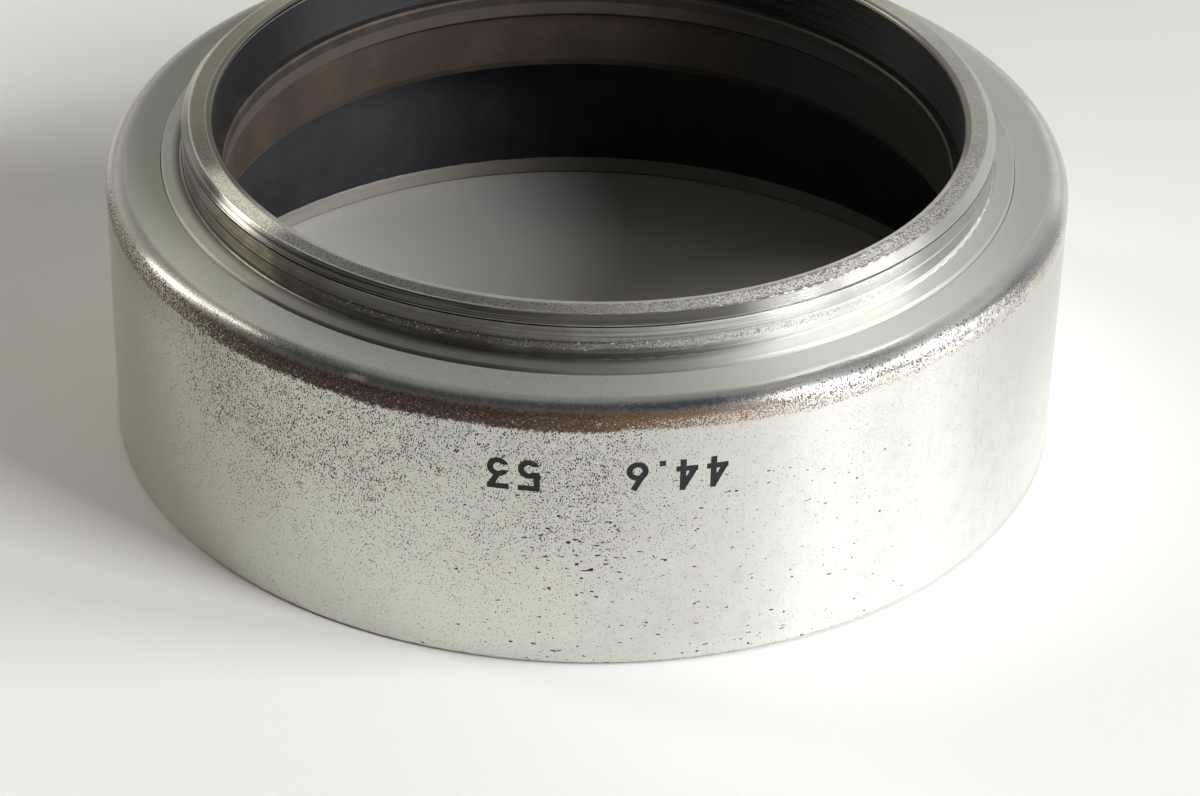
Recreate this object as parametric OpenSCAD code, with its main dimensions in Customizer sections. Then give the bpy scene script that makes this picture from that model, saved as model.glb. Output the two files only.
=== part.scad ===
// Lens hood for a drop-in filter size: a wide round shell with a narrow neck.
// It stands on its open mouth with the neck up. Millimetres, +Z along the optical axis.
// Origin: the middle of the mouth, in the plane that it stands on.

/* [Hood shell] */
// Outside diameter of the shell
shell_d = 53; // [40:0.5:80]
// Wall thickness of the shell
shell_wall = 1.1; // [0.8:0.1:2]
// Height of the flat shoulder above the mouth plane
shoulder_z = 15.8; // [12:0.1:30]
// Thickness of the shoulder
shoulder_t = 1.2; // [1:0.1:2.5]
// Radius of the outside corner between wall and shoulder
corner_r = 1.2; // [0.6:0.1:3]
// Height of the inward lip at the mouth
lip_h = 1; // [0.5:0.1:3]
// How far the lip stands in from the wall
lip_t = 0.3; // [0.1:0.05:0.8]

/* [Neck collar] */
// Outside diameter of the neck
neck_d = 44.6; // [36:0.1:60]
// Outside diameter of the collar flange on the shoulder
flange_d = 46.9; // [40:0.1:64]
// How far the flange stands above the shoulder
flange_proud = 0.23; // [0.1:0.01:1]
// Depth of the flange seat turned into the shoulder
flange_sunk = 0.5; // [0.3:0.05:0.8]
// Height of the top of the neck above the mouth plane
neck_top_z = 18.4; // [15:0.1:34]
// Bore of the collar, in which the retaining ring turns
collar_bore_d = 42.72; // [36:0.01:56]
// How far the collar spigot reaches below the shoulder
spigot_drop = 1.7; // [1.4:0.1:4]

/* [Retaining ring] */
// Inside diameter of the ring
ring_bore_d = 41.24; // [34:0.01:54]
// Radial play of the ring skirt in the collar
ring_play = 0.06; // [0.02:0.01:0.1]
// Thickness of the ring head that closes the neck
head_t = 0.53; // [0.4:0.01:1.5]
// Width of the chamfer outside the ring head
head_chamfer = 0.42; // [0.2:0.01:0.8]
// Width of the edge break inside the ring head
bore_chamfer = 0.06; // [0.02:0.01:0.4]
// Number of anti-glare grooves in the ring bore
glare_grooves = 4; // [2:1:6]
// Height of the relief that shows as a dark line between ring head and collar
seam_h = 0.09; // [0.04:0.01:0.16]

/* [Slip ring and baffle tube] */
// Clear diameter of the slip ring and of the filter seat
aperture_d = 40.1; // [30:0.1:52]
// Thickness of the slip ring
slip_t = 0.65; // [0.4:0.05:1.5]
// Top of the baffle tube, on which a filter sits
seat_z = 14.6; // [10:0.1:28]
// Lower end of the baffle tube above the mouth plane
tube_end_z = 10; // [4:0.1:20]
// Inside diameter of the baffle tube below its lip
tube_bore_d = 41.2; // [32:0.1:53]

/* [Lock nut] */
// Outside diameter of the nut under the shoulder
nut_d = 48.2; // [45:0.1:50]
// Thickness of the nut
nut_t = 1.3; // [0.8:0.1:3]
// Number of spanner slots in the nut
nut_slots = 4; // [2:1:8]

/* [Size numerals] */
// Height of the engraved numerals
digit_h = 1.85; // [1:0.05:3]
// Width of the engraved line
digit_line = 0.32; // [0.2:0.01:0.5]
// Depth of the engraving
digit_depth = 0.14; // [0.08:0.01:0.3]
// Height of the middle of the numerals above the mouth plane
digit_z = 11.62; // [4:0.01:14]
// Angle between one numeral and the next
digit_pitch = 3.4; // [3:0.1:6]
// Angle of the first numeral of the neck diameter
neck_mark = 15.2; // [5:0.1:40]
// Angle of the first numeral of the shell diameter
shell_mark = -5.4; // [-40:0.1:0]

/* [Hidden] */
$fn = 96;
over = 1;            // how far a cut runs past the surface that it opens
fit = 0.05;          // radial gap of a fixed fit
edge = 0.08;         // small edge break
turned_edge = 0.2;   // chamfer on an inner or hidden edge

shell_r = shell_d / 2;
wall_r = shell_r - shell_wall;
lip_r = wall_r - lip_t;
lip_slope = 0.25;
mouth_edge = 0.15;
under_z = shoulder_z - shoulder_t;
inner_corner_r = 0.4;

neck_r = neck_d / 2;
flange_r = flange_d / 2;
flange_z = shoulder_z + flange_proud;
sunk_z = shoulder_z - flange_sunk;
split_z = neck_top_z - head_t;
neck_fillet = 0.16;
seam_depth = 0.22;
spigot_r = 22;
spigot_z = under_z - spigot_drop;
collar_bore_r = collar_bore_d / 2;

ring_bore_r = ring_bore_d / 2;
skirt_r = collar_bore_r - ring_play;
groove = 0.12;
aperture_r = aperture_d / 2;
slip_top_z = seat_z + slip_t;
slip_edge = 0.12;
skirt_z = slip_top_z + 0.02;

tube_bore_r = tube_bore_d / 2;
tube_r = collar_bore_r - 0.02;
seat_lip_t = 0.75;
seat_slope = 0.45;
tube_flange_r = spigot_r - 0.2;
tube_flange_t = 0.6;
mouth_taper = 0.25;

nut_r = nut_d / 2;
nut_z = under_z - nut_t;
nut_bore_r = spigot_r + 0.02;
nut_slot_w = 2;
nut_slot_depth = 0.8;
nut_slot_h = 0.7;

digit_w = 1.12;
paint_low = 0.03;
top_y = (digit_h - digit_line) / 2;
side_x = (digit_w - digit_line) / 2;
bowl_y = (digit_w - digit_h) / 2;
waist_y = bowl_y + side_x;

// Half outline of a disc or plug: radius r from z0 up to z1.
module half(r, z0, z1) {
    translate([0, z0]) square([r, z1 - z0]);
}

// Half outline of a ring between two radii.
module band(r0, r1, z0, z1) {
    translate([r0, z0]) square([r1 - r0, z1 - z0]);
}

// Triangle across the edge at (r, z); dr and dz point away from the solid's corner.
module bevel(r, z, dr, dz) {
    polygon([[r, z], [r + dr, z], [r, z + dz]]);
}

// Half outline with a rounded outer top corner.
module rounded(r, z1, cr, z0) {
    half(r - cr, z0, z1);
    half(r, z0, z1 - cr);
    translate([r - cr, z1 - cr]) circle(r = cr);
}

// Spun shell: wall, rounded corner, shoulder with a seat for the flange, and the mouth lip.
module shell_profile() {
    difference() {
        rounded(shell_r, shoulder_z, corner_r, 0);
        rounded(wall_r, under_z, inner_corner_r, lip_h);
        half(lip_r, -over, lip_h + over);
        half(spigot_r + fit, over, shoulder_z + over);
        half(flange_r + fit, sunk_z, shoulder_z + over);
        bevel(shell_r, 0, -mouth_edge, mouth_edge);
        bevel(lip_r, 0, turned_edge, turned_edge);
        bevel(lip_r, lip_h, lip_t, -lip_slope);
    }
}

module hood_shell() {
    color("silver")
    difference() {
        rotate_extrude() shell_profile();
        numerals(shell_r - digit_depth, shell_r + over);
    }
}

// Turned collar: flange in the shoulder seat, neck above it, spigot below it.
module collar_profile() {
    difference() {
        union() {
            band(collar_bore_r, neck_r, sunk_z, split_z);
            band(collar_bore_r, flange_r, sunk_z, flange_z);
            band(collar_bore_r, spigot_r, spigot_z, sunk_z);
        }
        bevel(flange_r, flange_z, -edge, -edge);
        bevel(spigot_r, spigot_z, -turned_edge, turned_edge);
        seam_relief();
        translate([neck_r, (flange_z + split_z) / 2]) rotate(45) square(edge, center = true);
    }
    foot_fillet();
}

// Relief round the joint between ring head and collar, half of it cut in each.
module seam_relief() {
    translate([neck_r - seam_depth, split_z - seam_h / 2]) square([seam_depth + over, seam_h]);
}

// Fillet between the neck wall and the top of the flange.
module foot_fillet() {
    difference() {
        translate([neck_r - edge, flange_z - edge]) square(neck_fillet + edge);
        translate([neck_r + neck_fillet, flange_z + neck_fillet]) circle(r = neck_fillet);
    }
}

module neck_collar() {
    color("gainsboro") rotate_extrude() collar_profile();
}

// Screwed ring: a chamfered head that closes the neck, and a blackened skirt inside the collar.
module ring_profile() {
    groove_step = (split_z - skirt_z) / glare_grooves;
    difference() {
        union() {
            band(ring_bore_r, neck_r, split_z, neck_top_z);
            band(ring_bore_r, skirt_r, skirt_z, split_z);
        }
        bevel(neck_r, neck_top_z, -head_chamfer, -head_chamfer);
        seam_relief();
        bevel(ring_bore_r, neck_top_z, bore_chamfer, -bore_chamfer);
        for (i = [0 : glare_grooves - 1])
            translate([ring_bore_r, skirt_z + groove_step * (i + 0.5)])
                rotate(45) square(groove, center = true);
    }
}

module retaining_ring() {
    color("dimgray") rotate_extrude() ring_profile();
}

// Bare metal ring between the retaining ring and the filter seat; it slides but doesn't turn.
module slip_ring() {
    color("khaki")
    rotate_extrude()
    difference() {
        band(aperture_r, skirt_r - fit, seat_z, slip_top_z);
        bevel(aperture_r, slip_top_z, slip_edge, -slip_edge);
    }
}

// Baffle tube: its lip is the filter seat, and its flange stops against the collar spigot.
module tube_profile() {
    seat_low_z = seat_z - seat_lip_t;
    bore_top_z = seat_low_z - seat_slope;
    difference() {
        union() {
            band(aperture_r, tube_r, tube_end_z, seat_z);
            band(aperture_r, tube_flange_r, spigot_z - tube_flange_t, spigot_z);
        }
        half(tube_bore_r, tube_end_z - over, bore_top_z);
        polygon([[0, bore_top_z], [tube_bore_r, bore_top_z], [aperture_r, seat_low_z], [0, seat_low_z]]);
        bevel(tube_bore_r, tube_end_z, mouth_taper, 2 * mouth_taper);
        bevel(tube_r, tube_end_z, -turned_edge, turned_edge);
    }
}

module baffle_tube() {
    color("peru") rotate_extrude() tube_profile();
}

// Slotted nut under the shoulder; it clamps the shell between itself and the collar flange.
module lock_nut() {
    color("darkgoldenrod")
    difference() {
        rotate_extrude()
        difference() {
            band(nut_bore_r, nut_r, nut_z, under_z);
            bevel(nut_r, nut_z, -turned_edge, turned_edge);
        }
        for (i = [0 : nut_slots - 1])
            rotate(45 + i * 360 / nut_slots)
                translate([nut_r - nut_slot_depth, -nut_slot_w / 2, nut_z - over])
                    cube([nut_slot_depth + over, nut_slot_w, nut_slot_h + over]);
    }
}

// Numerals are drawn in a box digit_w wide and digit_h high with its middle at the origin.
module bar(x, y, w, h) {
    translate([x, y]) square([w, h], center = true);
}

// Line between two points, one stroke wide.
module stroke(x0, y0, x1, y1) {
    run = norm([x1 - x0, y1 - y0]);
    translate([x0, y0])
        rotate(atan2(y1 - y0, x1 - x0))
            translate([0, -digit_line / 2]) square([run, digit_line]);
}

// Round bowl that stands on the lower edge of the digit.
module bowl() {
    translate([0, bowl_y])
    difference() {
        circle(d = digit_w);
        circle(d = digit_w - 2 * digit_line);
    }
}

// Bowl with a gap in its left side, as 3 and 5 have.
module open_bowl() {
    difference() {
        bowl();
        translate([-digit_w, bowl_y - digit_line / 2]) square([digit_w, digit_line]);
    }
}

module digit_3() {
    open_bowl();
    bar(0, top_y, digit_w, digit_line);
    stroke(side_x, top_y, 0, waist_y);
}

module digit_4() {
    bar(side_x / 2, 0, digit_line, digit_h);
    bar(0, bowl_y, digit_w, digit_line);
    stroke(-side_x, bowl_y, side_x / 2, top_y);
}

module digit_5() {
    open_bowl();
    bar(0, top_y, digit_w, digit_line);
    bar(-side_x, (top_y + waist_y) / 2, digit_line, top_y - waist_y);
    bar(-side_x / 2, waist_y, side_x + digit_line, digit_line);
}

module digit_6() {
    bowl();
    stroke(-side_x * 0.85, bowl_y + side_x * 0.3, side_x / 2, top_y);
}

module point() {
    bar(0, (digit_line - digit_h) / 2, digit_line, digit_line);
}

// One numeral cut along the radius at an angle from -Y; it reads upright with the mouth up.
module at_angle(a) {
    rotate(a)
        translate([0, -shell_r + over, digit_z])
            rotate([90, 180, 0]) linear_extrude(2 * over) children();
}

// The numerals between two radii of the wall: outside diameter, then neck diameter.
module numerals(r0, r1) {
    intersection() {
        rotate_extrude() band(r0, r1, digit_z - digit_h, digit_z + digit_h);
        union() {
            at_angle(shell_mark) digit_5();
            at_angle(shell_mark - digit_pitch) digit_3();
            at_angle(neck_mark) digit_4();
            at_angle(neck_mark - digit_pitch) digit_4();
            at_angle(neck_mark - 1.8 * digit_pitch) point();
            at_angle(neck_mark - 2.6 * digit_pitch) digit_6();
        }
    }
}

// Black paint in the engraving, a little below the surface.
module numeral_paint() {
    color("black") numerals(shell_r - digit_depth, shell_r - paint_low);
}

hood_shell();
neck_collar();
retaining_ring();
slip_ring();
baffle_tube();
lock_nut();
numeral_paint();
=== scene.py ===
# Looks, floor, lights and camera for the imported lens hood.
# Objects, lights and the camera are in metres, and the materials work in millimetres and degrees.
# +Z is the optical axis, with the mouth at z = 0 and the neck up, and -Y faces the camera.
import math
import bpy
from mathutils import Matrix, Vector

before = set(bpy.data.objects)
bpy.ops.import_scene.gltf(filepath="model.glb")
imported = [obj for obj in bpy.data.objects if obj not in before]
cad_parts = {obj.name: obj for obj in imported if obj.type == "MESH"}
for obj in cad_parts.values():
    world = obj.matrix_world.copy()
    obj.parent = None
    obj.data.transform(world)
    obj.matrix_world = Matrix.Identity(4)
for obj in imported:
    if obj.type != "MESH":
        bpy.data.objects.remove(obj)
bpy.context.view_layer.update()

scene = bpy.context.scene
for extra in ("Cube", "Light", "Camera"):
    if extra in bpy.data.objects:
        bpy.data.objects.remove(bpy.data.objects[extra], do_unlink=True)

MM = 0.001
REAR_START, REAR_END = 100, 176      # degrees from the front over which the angle runs back to 0
DOT_CORE = 0.72                      # share of a speck's radius at full strength


class Shader:
    """A Principled material with the hood's own coordinates in millimetres and degrees."""

    def __init__(self, name):
        self.mat = bpy.data.materials.new(name)
        self.mat.use_nodes = True
        self.tree = self.mat.node_tree
        self.bsdf = next(n for n in self.tree.nodes if n.type == "BSDF_PRINCIPLED")
        tc = self.tree.nodes.new("ShaderNodeTexCoord")
        self.p = self.vec("SCALE", tc.outputs["Object"], scale=1 / MM)
        sep = self.tree.nodes.new("ShaderNodeSeparateXYZ")
        self.link(self.p, sep.inputs[0])
        self.x, self.y, self.z = sep.outputs[0], sep.outputs[1], sep.outputs[2]
        self.r = self.math("SQRT", self.add(self.mul(self.x, self.x), self.mul(self.y, self.y)))
        # Degrees round the axis: 0 at the front, growing to the right, and running back to 0 at the rear.
        around = self.mul(self.math("ARCTAN2", self.x, self.mul(self.y, -1)), 180 / math.pi)
        self.th = self.mul(around, self.step(self.absolute(around), REAR_END, REAR_START))
        self.ux = self.math("DIVIDE", self.x, self.r)
        self.uy = self.math("DIVIDE", self.y, self.r)

    def link(self, a, b):
        self.tree.links.new(a, b)

    def put(self, socket, value):
        if isinstance(value, (int, float)):
            socket.default_value = value
        elif isinstance(value, (tuple, list)):
            alpha = (1.0,) if len(value) == 3 and socket.type == "RGBA" else ()
            socket.default_value = tuple(value) + alpha
        else:
            self.link(value, socket)

    def math(self, op, a, b=None):
        n = self.tree.nodes.new("ShaderNodeMath")
        n.operation = op
        for s, v in zip(n.inputs, (a, b)):
            if v is not None:
                self.put(s, v)
        return n.outputs[0]

    def minus(self, a, b):
        return self.math("SUBTRACT", a, b)

    def absolute(self, value):
        return self.math("ABSOLUTE", value)

    def most(self, a, b):
        return self.math("MAXIMUM", a, b)

    def vec(self, op, a, b=None, scale=None):
        n = self.tree.nodes.new("ShaderNodeVectorMath")
        n.operation = op
        self.put(n.inputs[0], a)
        if b is not None:
            self.put(n.inputs[1], b)
        if scale is not None:
            self.put(n.inputs["Scale"], scale)
        return n.outputs[0]

    def xyz(self, x, y, z):
        n = self.tree.nodes.new("ShaderNodeCombineXYZ")
        for s, v in zip(n.inputs, (x, y, z)):
            self.put(s, v)
        return n.outputs[0]

    def step(self, value, lo, hi, a=0.0, b=1.0):
        """Smooth step of a value from lo to hi, giving a to b."""
        n = self.tree.nodes.new("ShaderNodeMapRange")
        n.interpolation_type = "SMOOTHSTEP"
        sockets = ("Value", "From Min", "From Max", "To Min", "To Max")
        for socket, v in zip(sockets, (value, lo, hi, a, b)):
            self.put(n.inputs[socket], v)
        return n.outputs[0]

    def bump_at(self, value, centre, half, soft):
        """1 within half of a centre, fading to 0 over soft."""
        d = self.absolute(self.minus(value, centre))
        return self.step(d, half, half + soft, 1.0, 0.0)

    def noise(self, vector, scale, detail=2.0, rough=0.5, offset=0.0):
        n = self.tree.nodes.new("ShaderNodeTexNoise")
        n.noise_dimensions = "3D"
        if offset:
            vector = self.vec("ADD", vector, (offset, offset * 0.7, -offset))
        self.put(n.inputs["Vector"], vector)
        n.inputs["Scale"].default_value = scale
        n.inputs["Detail"].default_value = detail
        n.inputs["Roughness"].default_value = rough
        return n.outputs["Fac"]

    def dots(self, vector, scale, size):
        """Separate round specks; size is their radius in parts of their spacing."""
        n = self.tree.nodes.new("ShaderNodeTexVoronoi")
        n.voronoi_dimensions, n.feature = "3D", "F1"
        self.put(n.inputs["Vector"], vector)
        n.inputs["Scale"].default_value = scale
        return self.step(n.outputs["Distance"], size, self.mul(size, DOT_CORE))

    def mix(self, fac, a, b):
        """Colour a where fac is 0, and b where it is 1."""
        n = self.tree.nodes.new("ShaderNodeMix")
        n.data_type = "RGBA"
        self.put(n.inputs["Factor"], fac)
        self.put(n.inputs[6], a)
        self.put(n.inputs[7], b)
        return n.outputs[2]

    def lerp(self, fac, a, b):
        """Number a where fac is 0, and b where it is 1."""
        n = self.tree.nodes.new("ShaderNodeMix")
        n.data_type = "FLOAT"
        self.put(n.inputs["Factor"], fac)
        self.put(n.inputs[2], a)
        self.put(n.inputs[3], b)
        return n.outputs[0]

    def mul(self, *values):
        out = values[0]
        for v in values[1:]:
            out = self.math("MULTIPLY", out, v)
        return out

    def add(self, *values):
        out = values[0]
        for v in values[1:]:
            out = self.math("ADD", out, v)
        return out

    def finish(self, color, metallic, rough, height=None, depth=0.02, specular=0.5):
        """Join everything to the surface; height is relief in parts of depth, in millimetres."""
        self.put(self.bsdf.inputs["Base Color"], color)
        self.put(self.bsdf.inputs["Metallic"], metallic)
        self.put(self.bsdf.inputs["Roughness"], rough)
        self.bsdf.inputs["Specular IOR Level"].default_value = specular
        if height is not None:
            b = self.tree.nodes.new("ShaderNodeBump")
            b.inputs["Strength"].default_value = 1.0
            b.inputs["Distance"].default_value = depth * MM
            self.link(height, b.inputs["Height"])
            self.link(b.outputs[0], self.bsdf.inputs["Normal"])
        return self.mat

    def brush(self, amount):
        """Turned metal: highlights spread across the lines that run round the axis."""
        n = self.tree.nodes.new("ShaderNodeTangent")
        n.direction_type, n.axis = "RADIAL", "Z"
        self.link(n.outputs[0], self.bsdf.inputs["Tangent"])
        self.bsdf.inputs["Anisotropic"].default_value = amount
        self.bsdf.inputs["Anisotropic Rotation"].default_value = 0.25

    def turned(self, along, fineness, spread=6.0, offset=0.0):
        """Fine lines round the axis."""
        v = self.xyz(self.mul(along, fineness), self.mul(self.ux, spread), self.mul(self.uy, spread))
        return self.noise(v, 1.0, 2.0, 0.6, offset)

    def stretched(self, across, upright):
        """The hood's millimetres, stretched by one factor across and by another upright."""
        return self.xyz(self.mul(self.x, across), self.mul(self.y, across), self.mul(self.z, upright))


CHROME = (0.75, 0.75, 0.71)
DULL = (0.60, 0.595, 0.555)
BROWN = (0.085, 0.05, 0.036)
RUST = (0.22, 0.112, 0.045)
BRASS = (0.10, 0.068, 0.04)
SOOT_AND_SHADE = (0.02, 0.018, 0.016)
SATIN_WALL = 0.94        # metallic share of the satin plating; the rest scatters
SATIN_SHOULDER = 0.55

# Where the masks sit on the hood, in millimetres: on or just beside the edge that each one names.
LIP_TOP = 1.0            # top of the bare lip inside the mouth; the black begins above it
NECK_EDGE_R = 22.35      # just outside the neck wall, where its foot meets the flange
NECK_FOOT_Z = 16.14      # in the small fillet at the neck's foot
GROOVE_Z = 16.95         # the faint turned line at the neck's mid height
CHAMFER_R = 21.83        # just inside the edge between the ring's flat top and its chamfer
CORNER_Z = 15.28         # about the middle of the rounded corner between shoulder and wall
CORNER_R = 24.9          # the corner's masks start here, on the shoulder just inside the rounding


def shell_material():
    s = Shader("shell_chrome_look")
    s.brush(0.82)
    th, z = s.th, s.z
    cloud = s.noise(s.p, 0.22, 3.0, 0.55)
    cloud2 = s.noise(s.p, 0.9, 3.0, 0.6, 11.0)
    grain = s.noise(s.p, 9.0, 3.0, 0.7, 3.0)
    streak = s.noise(s.stretched(4.5, 0.35), 1.0, 2.0, 0.55, 5.0)
    lines = s.turned(s.add(z, s.r), 9.0, 4.0, 2.0)
    wall = s.step(z, 15.3, 15.0)
    bright_side = s.mul(s.step(th, 20, 32), s.step(th, 80, 66))
    flat = s.step(s.add(s.r, s.mul(bright_side, 0.25)), 25.7, 25.2)

    # Fine dark pits: thick below the shoulder in front on the left, thin lower down and on the right.
    front = s.mul(s.step(th, -76, -34), s.step(th, 26, -8))
    high = s.step(z, 1.5, 13.5)
    dense = s.mul(front, s.add(0.14, s.mul(high, 0.86)))
    dense = s.mul(dense, s.step(cloud, 0.3, 0.62, 0.6, 1.1))
    dense = s.add(dense, s.mul(s.step(th, 100, 50), s.step(th, -100, -50), 0.22))
    speck = s.noise(s.stretched(1.0, 0.6), 15.0, 3.0, 0.7, 17.0)
    level = s.lerp(dense, 0.75, 0.575)
    clump = s.noise(s.p, 2.1, 3.0, 0.65, 23.0)
    size = s.mul(s.lerp(dense, 0.10, 0.40), s.step(clump, 0.3, 0.7, 0.6, 1.25))
    pits = s.most(s.step(speck, level, s.add(level, 0.04)), s.dots(s.stretched(1.0, 0.75), 9.0, size))
    pits = s.mul(pits, s.lerp(wall, 0.3, 1.0))

    # Larger, flatter pits, some of them brown, scattered in front and to the right.
    lone = s.noise(s.stretched(0.8, 1.7), 3.2, 1.5, 0.5, 31.0)
    zone = s.mul(s.step(th, -40, -8), s.step(th, 66, 24), s.step(z, 13.4, 11.0))
    knot_th = s.absolute(s.minus(th, 0.5))
    knot_z = s.mul(s.absolute(s.minus(z, 8.0)), 2.0)
    knot = s.step(s.add(knot_th, knot_z), 13.0, 3.0)
    lone_level = s.add(s.lerp(zone, 0.86, 0.70), s.mul(knot, -0.05))
    big = s.step(lone, lone_level, s.add(lone_level, 0.02))
    pits = s.most(pits, big)

    # The shoulder's worn band: chrome gone, brown metal with dark grain, ragged below.
    ragged = s.minus(s.noise(s.p, 3.6, 4.0, 0.75, 41.0), 0.5)
    wander = s.minus(s.noise(s.p, 0.16, 2.0, 0.5, 53.0), 0.5)
    low_edge = s.step(s.add(z, s.mul(ragged, 0.9), s.mul(wander, 0.7)), 14.24, 14.44)
    high_edge = s.step(s.add(z, s.mul(ragged, 0.5)), 15.52, 15.2)
    band = s.mul(low_edge, high_edge, s.step(s.r, CORNER_R, CORNER_R + 0.6))
    reach = s.mul(s.step(th, -98, -74), s.step(th, 96, 72))
    whole = s.mul(s.step(th, -56, -34), s.step(th, 16, -2))
    bandgrain = s.noise(s.stretched(1.0, 1.2), 10.0, 3.0, 0.7, 61.0)
    open_level = s.lerp(whole, s.lerp(reach, 0.82, s.step(th, 10, 34, 0.46, 0.51)), 0.34)
    worn = s.mul(band, s.step(bandgrain, open_level, s.add(open_level, 0.06)))

    col = s.mix(s.step(cloud, 0.35, 0.7), CHROME, (0.74, 0.735, 0.70))
    col = s.mix(s.mul(s.step(cloud2, 0.45, 0.75), 0.45), col, DULL)
    col = s.mix(s.mul(s.step(streak, 0.45, 0.75), 0.16), col, DULL)
    col = s.mix(s.mul(s.step(z, 5.0, 14.0), wall, 0.4), col, DULL)
    col = s.mix(s.mul(s.step(th, 24, -14), wall, 0.8), col, (0.72, 0.72, 0.66))
    col = s.mix(s.mul(s.step(th, -30, -56), wall, 0.85), col, (0.49, 0.485, 0.43))
    dim = s.mul(s.step(th, -62, -40), s.step(th, 22, 0), wall, s.step(z, 1.0, 13.0, 0.3, 1.0))
    col = s.mix(s.mul(dim, 0.42), col, (0.40, 0.395, 0.35))
    shade = s.mul(s.step(th, -36, -56), s.step(z, 11.6, 14.2))
    col = s.mix(s.mul(shade, 0.55), col, (0.30, 0.28, 0.25))
    # Partly tarnish, partly painted dark reflection: the rounded corner is painted dark grey in front and
    # blue-grey at the side, where it mirrors the dark room.
    smoke_and_reflection_front = s.mul(s.step(th, -60, -46), s.step(th, 28, 12))
    smoke_and_reflection_side = s.mul(s.step(th, 52, 62), s.step(th, 82, 72), 0.85)
    round_off = s.mul(s.bump_at(z, 15.35, 0.18, 0.32), s.step(s.r, CORNER_R, CORNER_R + 0.7))
    smoke_and_painted_reflection = s.mul(round_off, s.most(smoke_and_reflection_front, smoke_and_reflection_side))
    col = s.mix(s.mul(smoke_and_painted_reflection, 0.88), col, s.mix(s.step(th, -8, 16), (0.24, 0.24, 0.225), (0.22, 0.24, 0.27)))
    tone = s.noise(s.p, 1.1, 3.0, 0.6, 71.0)
    pitcol = s.mix(s.step(tone, 0.5, 0.62), SOOT_AND_SHADE, (0.15, 0.085, 0.05))
    # Painted light: the shoulder's flat is painted lighter on the left, where the neck shades it from the
    # windows, and lighter on the far right.
    col = s.mix(s.mul(flat, 0.9), col, s.mix(s.step(th, -8, -70), (0.42, 0.423, 0.378), (0.58, 0.58, 0.52)))
    col = s.mix(s.mul(flat, s.step(th, 42, 62), 0.7), col, (0.60, 0.60, 0.575))
    # Painted highlight: a small pinkish-white glint on the corner, front left.
    painted_glint_spot = s.mul(s.bump_at(th, -25.5, 0.6, 1.0), s.bump_at(z, 15.45, 0.05, 0.09))
    col = s.mix(s.mul(painted_glint_spot, 0.8), col, (0.95, 0.78, 0.66))
    col = s.mix(s.mul(pits, 0.97), col, pitcol)
    orange = s.mul(s.step(th, -10, 8), s.step(th, 40, 20))
    brownish = s.mix(s.step(bandgrain, 0.38, 0.6), (0.034, 0.021, 0.016), BROWN)
    brownish = s.mix(s.mul(orange, s.step(bandgrain, 0.42, 0.6, 0.15, 0.9)), brownish, RUST)
    glint_noise = s.noise(s.stretched(1.0, 1.6), 7.5, 2.0, 0.6, 83.0)
    glint = s.step(glint_noise, 0.54, 0.62)
    brownish = s.mix(s.mul(glint, 0.5), brownish, (0.27, 0.20, 0.15))
    soot = s.step(s.noise(s.stretched(1.0, 1.2), 6.4, 2.5, 0.6, 91.0), 0.5, 0.56)
    brownish = s.mix(s.mul(s.step(th, -44, -58), 0.5), brownish, (0.14, 0.09, 0.055))
    brownish = s.mix(s.mul(soot, s.step(th, 14, -20), 0.6), brownish, SOOT_AND_SHADE)
    brownish = s.mix(s.mul(s.step(th, 18, 34), 0.9), brownish, BRASS)
    # Painted shade: the corner is painted darker on the right, toning down the windows' reflection there.
    corner_highlight_dimming = s.mul(
        s.bump_at(z, CORNER_Z, 0.2, 0.18), s.step(s.r, CORNER_R, CORNER_R + 0.7),
        s.step(th, 21, 30), s.step(th, 56, 48))
    col = s.mix(s.mul(corner_highlight_dimming, 0.8), col, (0.2, 0.202, 0.205))
    sprinkle = s.mul(s.bump_at(z, 15.25, 0.3, 0.25), s.step(th, 12, 24), s.step(th, 74, 60))
    sprinkle = s.mul(sprinkle, s.dots(s.p, 7.0, s.step(clump, 0.35, 0.65, 0.24, 0.52)))
    col = s.mix(sprinkle, col, s.mix(s.step(tone, 0.45, 0.6), (0.07, 0.06, 0.052), BRASS))
    # Painted shade: a dark line on the front left, where the collar's flange meets the shell.
    seam_shade = s.mul(
        s.step(s.r, 23.56, 23.48), s.step(z, 15.7, 15.78), s.step(th, -52, -42), s.step(th, 2, -16), 0.7)
    col = s.mix(seam_shade, col, (0.08, 0.075, 0.068))
    gold = s.mul(
        s.step(s.noise(s.p, 0.75, 2.0, 0.5, 57.0), 0.5, 0.62), s.step(z, 14.95, 14.6), s.step(th, 4, 22))
    brownish = s.mix(s.mul(gold, 0.8), brownish, (0.36, 0.235, 0.085))
    col = s.mix(worn, col, brownish)

    # Blackened inside above the lip, bare metal on the lip, and a dark brown line round the bottom edge.
    inside = s.mul(s.step(s.r, 25.95, 25.9), s.step(z, 15.2, 15.15))
    edge = s.add(z, s.mul(s.minus(s.noise(s.p, 1.2, 3.0, 0.6, 97.0), 0.5), 0.07))
    black = s.mul(inside, s.step(edge, LIP_TOP - 0.03, LIP_TOP + 0.02))
    lip = s.mul(inside, s.step(z, LIP_TOP + 0.02, LIP_TOP - 0.03))
    col = s.mix(s.mul(lip, 0.85), col, (0.36, 0.325, 0.295))
    foot = s.step(s.add(z, s.mul(ragged, 0.3)), 0.24, 0.1)
    col = s.mix(s.mul(foot, 0.7), col, (0.2, 0.16, 0.12))
    dust = s.noise(s.p, 0.5, 4.0, 0.6, 7.0)
    col = s.mix(black, col, s.mix(s.step(dust, 0.4, 0.7), (0.011, 0.0115, 0.014), (0.02, 0.02, 0.021)))

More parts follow.
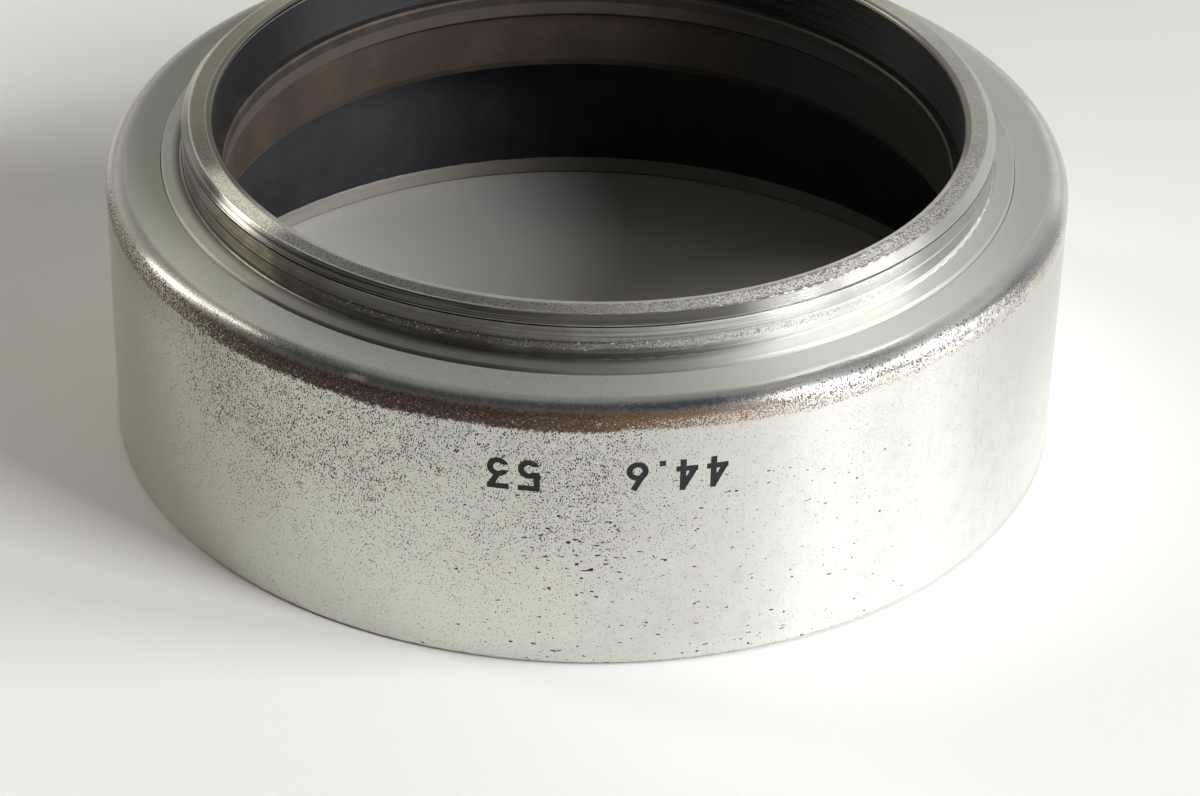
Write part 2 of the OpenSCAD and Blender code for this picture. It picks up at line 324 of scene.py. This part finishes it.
    uneven = s.add(s.mul(cloud, 0.06), s.mul(grain, 0.05), s.mul(streak, 0.04))
    rough = s.add(s.lerp(flat, 0.17, 0.64), uneven)
    rough = s.lerp(pits, rough, 0.75)
    rough = s.lerp(worn, rough, s.add(0.38, s.mul(bandgrain, 0.25)))
    rough = s.lerp(black, rough, 0.56)
    bare = s.most(black, s.mul(worn, s.step(th, 14, 30, 0.4, 0.95)))
    bare = s.most(bare, s.most(sprinkle, seam_shade))
    satin = s.lerp(flat, SATIN_WALL, SATIN_SHOULDER)
    metal = s.mul(satin, s.minus(1.0, s.most(s.mul(pits, 0.7), bare)))
    relief = s.add(s.mul(grain, 0.10), s.mul(streak, 0.08), s.mul(lines, 0.06))
    height = s.add(relief, s.mul(pits, wall, -0.22), s.mul(worn, s.add(-0.25, s.mul(bandgrain, 0.7))))
    return s.finish(col, metal, rough, height, 0.02, 0.35)


def collar_material():
    s = Shader("collar_chrome_look")
    s.brush(0.85)
    th, z = s.th, s.z
    cloud = s.noise(s.p, 0.35, 3.0, 0.55)
    lines = s.turned(s.add(z, s.r), 11.0, 5.0, 2.0)
    fine = s.turned(s.add(z, s.r), 38.0, 9.0, 12.0)
    grain = s.noise(s.p, 9.0, 3.0, 0.7, 3.0)
    neck = s.step(s.r, NECK_EDGE_R + 0.15, NECK_EDGE_R)
    ledge = s.step(s.r, NECK_EDGE_R, NECK_EDGE_R + 0.15)
    ledge_tone = s.step(s.r, 22.42, 23.0)
    left = s.mul(s.step(th, 14, -18), s.step(th, -94, -66))

    # The neck is stained brown in front on the left, and rubbed rough along its middle.
    stain = s.mul(neck, left, s.step(s.noise(s.p, 0.45, 3.0, 0.6, 25.0), 0.4, 0.6))
    wobble = s.mul(s.minus(s.noise(s.p, 0.9, 4.0, 0.65, 21.0), 0.5), 0.7)
    rub = s.mul(
        neck, s.bump_at(s.add(z, wobble), 16.8, 0.12, 0.22), s.step(th, -48, -22), s.step(th, 58, 20))
    speck = s.step(s.noise(s.p, 8.0, 3.0, 0.7, 27.0), 0.5, 0.57)
    spots = s.step(s.noise(s.p, 7.0, 2.0, 0.6, 35.0), 0.68, 0.72)
    foot = s.mul(s.bump_at(z, NECK_FOOT_Z, 0.05, 0.05), s.step(s.r, 22.5, 22.44))
    groove = s.mul(neck, s.bump_at(z, GROOVE_Z, 0.05, 0.02))
    corner = s.mul(s.bump_at(z, NECK_FOOT_Z, 0.1, 0.12), neck, s.step(th, 8, 26))

    col = s.mix(s.step(cloud, 0.35, 0.7), CHROME, (0.66, 0.655, 0.62))
    col = s.mix(s.mul(s.step(lines, 0.45, 0.7), 0.3), col, DULL)
    # Painted light and shade on the flange's top: lighter on the left and far right, darker in front, and
    # darkest next to the neck's foot from the front round to the left.
    ledge_light_and_shade = s.mix(s.step(th, 2, 30), (0.40, 0.40, 0.362), (0.50, 0.50, 0.458))
    ledge_light_and_shade = s.mix(s.step(th, -44, -68), ledge_light_and_shade, (0.64, 0.64, 0.59))
    ledge_light_and_shade = s.mix(s.step(th, 46, 66), ledge_light_and_shade, (0.66, 0.66, 0.63))
    ledge_light_and_shade = s.mix(s.mul(s.minus(1.0, ledge_tone), s.step(th, 30, 6)), ledge_light_and_shade, (0.17, 0.167, 0.15))
    col = s.mix(ledge, col, ledge_light_and_shade)
    # Painted highlight: the neck's colour is raised to near white on the right, where it mirrors the
    # windows.
    bright = s.mul(neck, s.step(th, 6, 20), s.step(th, 54, 46), s.step(th, 26, 38, 0.85, 0.7))
    col = s.mix(bright, col, (0.96, 0.958, 0.93))
    # The neck's front and left are darker, less so at the far left, and more so higher up.
    left_neck_darkening = s.mul(s.step(th, -40, -58, 0.88, 0.66), s.step(z, 16.2, 16.7, 0.75, 1.0))
    col = s.mix(s.mul(neck, left, left_neck_darkening), col, (0.14, 0.138, 0.122))
    # Painted highlight: a gold-tinted area on the neck's left, where it mirrors the warm lamp.
    painted_lamp_highlight = s.mul(neck, s.bump_at(s.add(th, s.mul(wobble, 9.0)), -52, 3.0, 6.0))
    col = s.mix(s.mul(painted_lamp_highlight, 0.8), col, (0.62, 0.585, 0.43))
    streaks = s.turned(s.add(z, s.r), 7.0, 1.6, 33.0)
    dark_streaks = s.mul(neck, s.step(streaks, 0.42, 0.66), s.step(th, 40, 10), 0.55)
    col = s.mix(dark_streaks, col, (0.07, 0.066, 0.058))
    col = s.mix(s.mul(neck, s.step(streaks, 0.44, 0.30), left, 0.35), col, (0.36, 0.355, 0.33))
    col = s.mix(s.mul(stain, 0.5), col, (0.15, 0.11, 0.085))
    rubcol = s.mix(speck, (0.23, 0.21, 0.18), (0.035, 0.03, 0.025))
    col = s.mix(s.mul(rub, s.lerp(speck, 0.3, 0.8)), col, rubcol)
    col = s.mix(s.mul(spots, s.lerp(ledge, 0.4, 0.6)), col, (0.09, 0.075, 0.06))
    # Painted shade in the corner at the neck's foot, on the right.
    col = s.mix(s.mul(corner, 0.35), col, (0.2, 0.195, 0.165))
    groove_share = s.mul(groove, 0.85)
    groove_col = s.mix(s.step(th, 0, 30), (0.035, 0.032, 0.028), (0.48, 0.478, 0.45))
    col = s.mix(groove_share, col, groove_col)
    # Painted shade: the flange's outer edge is painted dark in front on the left.
    lower = s.mul(s.step(s.r, 23.36, 23.42), s.step(th, -50, -42), s.step(th, 2, -12))
    col = s.mix(s.mul(lower, 0.7), col, (0.06, 0.057, 0.052))
    # Painted shade: the fillet at the neck's foot is painted dark in front and on the left.
    col = s.mix(s.mul(foot, s.step(th, 30, 14), 0.85), col, (0.10, 0.098, 0.09))
    glint = s.mul(rub, s.step(s.noise(s.p, 6.5, 2.0, 0.6, 45.0), 0.63, 0.67))
    col = s.mix(glint, col, (0.85, 0.76, 0.58))
    rough = s.lerp(s.most(ledge, foot), s.step(th, -40, -54, 0.15, 0.27), 0.52)
    rough = s.add(rough, s.mul(cloud, 0.07), s.mul(fine, 0.05), s.mul(rub, 0.14))
    rough = s.lerp(s.most(foot, s.mul(groove, s.step(th, 30, 6, 0.6, 1.0))), rough, 0.9)
    marks = s.most(s.most(s.mul(rub, speck), spots), s.mul(ledge, 0.3))
    marks = s.most(marks, s.mul(groove, s.step(th, 30, 6, 0.3, 1.6)))
    metal = s.minus(1.0, s.mul(marks, 0.5))
    relief = s.mul(s.add(s.mul(lines, 0.12), s.mul(fine, 0.03), s.mul(grain, 0.06)), s.lerp(foot, 1.0, 0.1))
    height = s.add(relief, s.mul(rub, speck, -0.6), s.mul(spots, -0.4))
    return s.finish(col, metal, rough, height, 0.015)


def ring_material():
    s = Shader("ring_chrome_look")
    s.brush(0.85)
    th, z, r = s.th, s.z, s.r
    cloud = s.noise(s.p, 0.4, 3.0, 0.55)
    lines = s.turned(s.minus(z, r), 12.0, 5.0, 2.0)
    grain = s.noise(s.p, 8.0, 3.0, 0.7, 3.0)
    left = s.mul(s.step(th, 16, -18), s.step(th, -94, -66))
    # Where the warm lamp's reflection falls, on the left of the top.
    lamp_highlight_zone = s.bump_at(th, -58, 5.0, 8.0)
    top = s.mul(s.step(z, 18.32, 18.37), s.step(r, 20.9, 21.05), s.step(r, 21.86, 21.74))
    chamfer = s.mul(s.step(r, CHAMFER_R - 0.07, CHAMFER_R), s.step(z, 18.395, 18.36))
    black = s.mul(s.step(r, 20.86, 20.8), s.step(z, 18.24, 18.16))
    black = s.most(black, s.step(z, 17.78, 17.74))

    # The top is eaten by fine pits between two bright edges; rust creeps along both.
    pit_level = s.lerp(s.step(th, 2, 20), 0.51, 0.49)
    pit = s.mul(top, s.step(s.noise(s.p, 11.0, 3.0, 0.68, 9.0), pit_level, s.add(pit_level, 0.05)))
    fray = s.step(s.noise(s.p, 3.4, 4.0, 0.7, 15.0), 0.40, 0.52)
    rust = s.mul(s.bump_at(r, 21.86, 0.03, 0.06), fray, s.step(th, -30, 0), s.step(th, 74, 50))
    inner_rust = s.mul(s.bump_at(r, 20.95, 0.05, 0.08), s.step(z, 18.2, 18.3), s.step(fray, 0.5, 0.9))
    inner_rust = s.mul(inner_rust, s.step(th, -14, 4), s.step(th, 80, 60))
    rust = s.most(rust, s.mul(inner_rust, 0.8))

    col = s.mix(s.step(cloud, 0.35, 0.7), CHROME, (0.68, 0.675, 0.64))
    col = s.mix(s.mul(s.step(lines, 0.45, 0.7), 0.3), col, DULL)
    pit = s.mul(pit, s.step(s.absolute(th), 90, 64, 0.3, 1.0))
    dim = s.mul(top, s.lerp(left, 0.1, 0.75), s.minus(1.0, lamp_highlight_zone))
    col = s.mix(dim, col, (0.16, 0.16, 0.148))
    # Painted shade and light on the chamfer: darker from about 40° on the right, toning down the windows'
    # reflection, and lighter again past about 50°.
    chamfer_share = s.mul(chamfer, 0.8)
    chamfer_light_and_shade = s.mix(s.step(th, 33, 42), (0.30, 0.297, 0.277), (0.10, 0.099, 0.092))
    col = s.mix(chamfer_share, col, chamfer_light_and_shade)
    streaks = s.turned(s.minus(z, r), 8.0, 2.0, 33.0)
    streak_col = s.mix(s.step(streaks, 0.44, 0.56), (0.25, 0.245, 0.23), (0.035, 0.033, 0.03))
    col = s.mix(s.mul(chamfer, s.most(left, s.step(th, 24, 8, 0.0, 0.5)), 0.85), col, streak_col)
    # Painted light on the chamfer past about 50° on the right.
    col = s.mix(s.mul(chamfer, s.step(th, 47, 54), 0.85), col, (0.55, 0.55, 0.52))
    # Painted highlight: the warm lamp's gold-tinted reflection on the left of the flat top.
    col = s.mix(s.mul(top, lamp_highlight_zone), col, (0.95, 0.92, 0.82))
    col = s.mix(s.mul(top, s.step(th, -64, -76), 0.7), col, (0.26, 0.215, 0.15))
    inner_line = s.mul(
        s.step(r, 21.02, 20.88), s.step(z, 18.28, 18.34), s.most(s.step(th, -50, -64), s.step(th, 64, 82)))
    col = s.mix(s.mul(inner_line, 0.8), col, (0.12, 0.10, 0.08))
    col = s.mix(s.mul(pit, s.lerp(lamp_highlight_zone, 0.85, 0.45)), col, (0.075, 0.06, 0.05))
    col = s.mix(s.mul(rust, 0.9), col, (0.16, 0.085, 0.045))
    scuff = s.step(s.noise(s.p, 3.0, 4.0, 0.7, 19.0), 0.6, 0.68)
    darkcol = s.mix(s.mul(scuff, 0.15), (0.008, 0.0085, 0.009), (0.06, 0.052, 0.045))
    col = s.mix(black, col, darkcol)
    rough = s.lerp(top, s.step(th, 28, 42, 0.12, 0.28), s.lerp(lamp_highlight_zone, 0.45, 0.66))
    rough = s.add(rough, s.mul(cloud, 0.07), s.mul(grain, 0.05), s.mul(pit, 0.2))
    rough = s.lerp(black, rough, 0.62)
    dull = s.most(s.mul(pit, 0.5), s.most(s.mul(rust, 0.6), s.mul(chamfer, 0.2)))
    metal = s.minus(1.0, s.most(black, dull))
    height = s.add(
        s.mul(lines, s.lerp(chamfer, 0.16, 0.08)), s.mul(grain, 0.08),
        s.mul(pit, -0.7), s.mul(rust, fray, -0.3))
    return s.finish(col, metal, rough, height, 0.015, 0.3)


def slip_material():
    s = Shader("slip_metal_look")
    cloud = s.noise(s.p, 0.5, 3.0, 0.6)
    lines = s.turned(s.add(s.z, s.r), 16.0, 5.0, 2.0)
    spots = s.step(s.noise(s.p, 3.4, 3.0, 0.65, 9.0), 0.6, 0.68)
    col = s.mix(s.step(cloud, 0.35, 0.7), (0.038, 0.031, 0.026), (0.058, 0.047, 0.038))
    col = s.mix(s.mul(spots, 0.6), col, (0.05, 0.04, 0.03))
    # Painted shade: the ring is darkened towards its right side, which lies in shadow.
    col = s.mix(s.step(s.x, 1, 13, 0.0, 0.85), col, SOOT_AND_SHADE)
    rough = s.add(0.42, s.mul(lines, 0.12))
    return s.finish(col, 0.35, rough, s.add(s.mul(lines, 0.4), s.mul(spots, -0.4)), 0.02)


def tube_material():
    s = Shader("tube_bronze_look")
    cloud = s.noise(s.p, 0.25, 4.0, 0.6)
    lines = s.turned(s.add(s.z, s.r), 10.0, 4.0, 2.0)
    mott = s.noise(s.p, 1.6, 4.0, 0.65, 9.0)
    col = s.mix(s.step(cloud, 0.35, 0.7), (0.044, 0.032, 0.024), (0.07, 0.049, 0.034))
    col = s.mix(s.mul(s.step(mott, 0.52, 0.72), 0.5), col, (0.035, 0.027, 0.022))
    lip = s.step(s.z, 13.7, 13.85)
    col = s.mix(s.mul(lip, 0.5), col, (0.12, 0.1, 0.085))
    # Painted shade: the tube is darkened towards its right side, which lies in shadow.
    col = s.mix(s.step(s.x, 1, 13, 0.0, 0.85), col, SOOT_AND_SHADE)
    rough = s.add(0.42, s.mul(mott, 0.2), s.mul(lip, -0.08))
    return s.finish(col, 0.3, rough, s.add(s.mul(lines, 0.35), s.mul(mott, 0.3)), 0.02)


def nut_material():
    s = Shader("nut_brass_look")
    cloud = s.noise(s.p, 0.6, 4.0, 0.6)
    lines = s.turned(s.add(s.z, s.r), 12.0, 5.0, 2.0)
    scuff = s.step(s.noise(s.p, 2.2, 4.0, 0.7, 9.0), 0.52, 0.66)
    col = s.mix(s.step(cloud, 0.4, 0.7), (0.03, 0.027, 0.024), (0.06, 0.05, 0.038))
    worn = s.mul(scuff, s.step(s.r, 23.2, 24.0))
    col = s.mix(worn, col, (0.45, 0.31, 0.14))
    rough = s.lerp(worn, 0.5, 0.3)
    return s.finish(col, s.lerp(worn, 0.2, 1.0), rough, s.add(s.mul(lines, 0.35), s.mul(scuff, 0.3)), 0.02)


def paint_material():
    s = Shader("numeral_black_look")
    chips = s.noise(s.p, 5.0, 3.0, 0.65)
    col = s.mix(s.step(chips, 0.6, 0.7), (0.012, 0.0115, 0.012), (0.07, 0.065, 0.062))
    rough = s.add(0.5, s.mul(chips, 0.3))
    return s.finish(col, 0.0, rough, chips, 0.03, 0.35)


def floor_material():
    s = Shader("table_look")
    cloud = s.noise(s.p, 0.012, 3.0, 0.5)
    fine = s.noise(s.p, 2.0, 3.0, 0.6, 5.0)
    col = s.mix(s.step(cloud, 0.3, 0.7), (0.925, 0.92, 0.885), (0.935, 0.93, 0.895))
    # Painted shade: the table is darker towards the back, standing in for the windows' falloff.
    col = s.mix(s.step(s.y, -20, 60), col, (0.70, 0.71, 0.685))
    # Painted light: the table is painted lighter and warmer on the left, lifting the hood's shadow there.
    col = s.mix(s.step(s.x, -15, -60), col, (0.96, 0.945, 0.85))
    col = s.mix(s.step(s.r, 25.9, 24.5), col, (0.93, 0.905, 0.85))
    return s.finish(col, 0.0, s.add(0.42, s.mul(cloud, 0.1)), fine, 0.004, 0.35)


LOOKS = {
    "hood_shell": shell_material, "neck_collar": collar_material, "retaining_ring": ring_material,
    "slip_ring": slip_material, "baffle_tube": tube_material, "lock_nut": nut_material,
    "numeral_paint": paint_material,
}
for node, make in LOOKS.items():
    obj = bpy.data.objects[node]
    look = make()
    for i in range(len(obj.material_slots)):
        obj.material_slots[i].material = look

# Floor: a plain table, 4 m square, that the mouth stands on.
bpy.ops.mesh.primitive_plane_add(size=4.0, location=(0, 0, 0))
floor = bpy.context.object
floor.name = "table"
floor.data.materials.append(floor_material())

# Camera: the photograph's angle, distance and tilt of the frame.
ELEVATION, DISTANCE, ROLL = math.radians(32.76), 0.2190, 0.0234    # radians, metres, radians
FOCAL_LENGTH, SENSOR_WIDTH = 114.18, 36.0                          # millimetres
target = Vector((0.00097, 0.0, -0.00065))
forward = Vector((0, math.cos(ELEVATION), -math.sin(ELEVATION)))
up0 = Vector((0, math.sin(ELEVATION), math.cos(ELEVATION)))
right0 = Vector((1, 0, 0))
c, sn = math.cos(-ROLL), math.sin(-ROLL)
right = right0 * c - up0 * sn
up = right0 * sn + up0 * c
cam = bpy.data.cameras.new("camera")
cam.lens, cam.sensor_width = FOCAL_LENGTH, SENSOR_WIDTH
cam.clip_start, cam.clip_end = 0.01, 20.0
cam_obj = bpy.data.objects.new("camera", cam)
scene.collection.objects.link(cam_obj)
rot = Matrix((right, up, -forward)).transposed()
cam_obj.matrix_world = Matrix.Translation(target - forward * DISTANCE) @ rot.to_4x4()
scene.camera = cam_obj


def panel(name, azimuth, elevation, distance, width, height, radiance, color):
    """Area light facing the hood; azimuth 0 is the camera's side, 90 its right."""
    a, e = math.radians(azimuth), math.radians(elevation)
    pos = Vector((math.sin(a) * math.cos(e), -math.cos(a) * math.cos(e), math.sin(e))) * distance
    light = bpy.data.lights.new(name, "AREA")
    light.shape, light.size, light.size_y = "RECTANGLE", width, height
    light.energy = radiance * width * height * math.pi
    light.color = color
    obj = bpy.data.objects.new(name, light)
    obj.location = pos
    obj.rotation_euler = (-pos).to_track_quat("-Z", "Y").to_euler()
    scene.collection.objects.link(obj)


# Two windows at the right with a dark gap between them, a small warm lamp, and weak fills.
panel("window_near", 59, 26.5, 1.0, 0.316, 0.443, 20.5, (0.985, 0.99, 1.02))
panel("window_far", 86.5, 22.5, 1.0, 0.334, 0.443, 16.2, (0.985, 0.99, 1.02))
panel("lamp_left", -111, 32, 0.8, 0.13, 0.52, 7.0, (1.0, 0.96, 0.86))
panel("wall_back_left", -155, 28, 1.0, 1.1, 0.8, 0.30, (1.0, 1.0, 0.89))
panel("wall_back_right", 148, 28, 1.0, 0.9, 0.8, 0.40, (1.0, 1.0, 0.94))
panel("ceiling", 180, 76, 1.2, 0.9, 0.6, 0.25, (1.0, 1.0, 0.98))

# The room is bright near the horizon and dark overhead.
world = bpy.data.worlds.new("room")
scene.world = world
world.use_nodes = True
wt = world.node_tree
bg = next(n for n in wt.nodes if n.type == "BACKGROUND")
sky = wt.nodes.new("ShaderNodeTexCoord")
height = wt.nodes.new("ShaderNodeSeparateXYZ")
low = wt.nodes.new("ShaderNodeMapRange")
wt.links.new(sky.outputs["Generated"], height.inputs[0])
wt.links.new(height.outputs["Z"], low.inputs["Value"])
for socket, value in (("From Min", 0.30), ("From Max", 0.50), ("To Min", 0.38), ("To Max", 0.06)):
    low.inputs[socket].default_value = value
wt.links.new(low.outputs[0], bg.inputs["Strength"])
bg.inputs["Color"].default_value = (1.0, 1.0, 0.94, 1)
scene.view_settings.view_transform = "Standard"
scene.view_settings.look = "None"
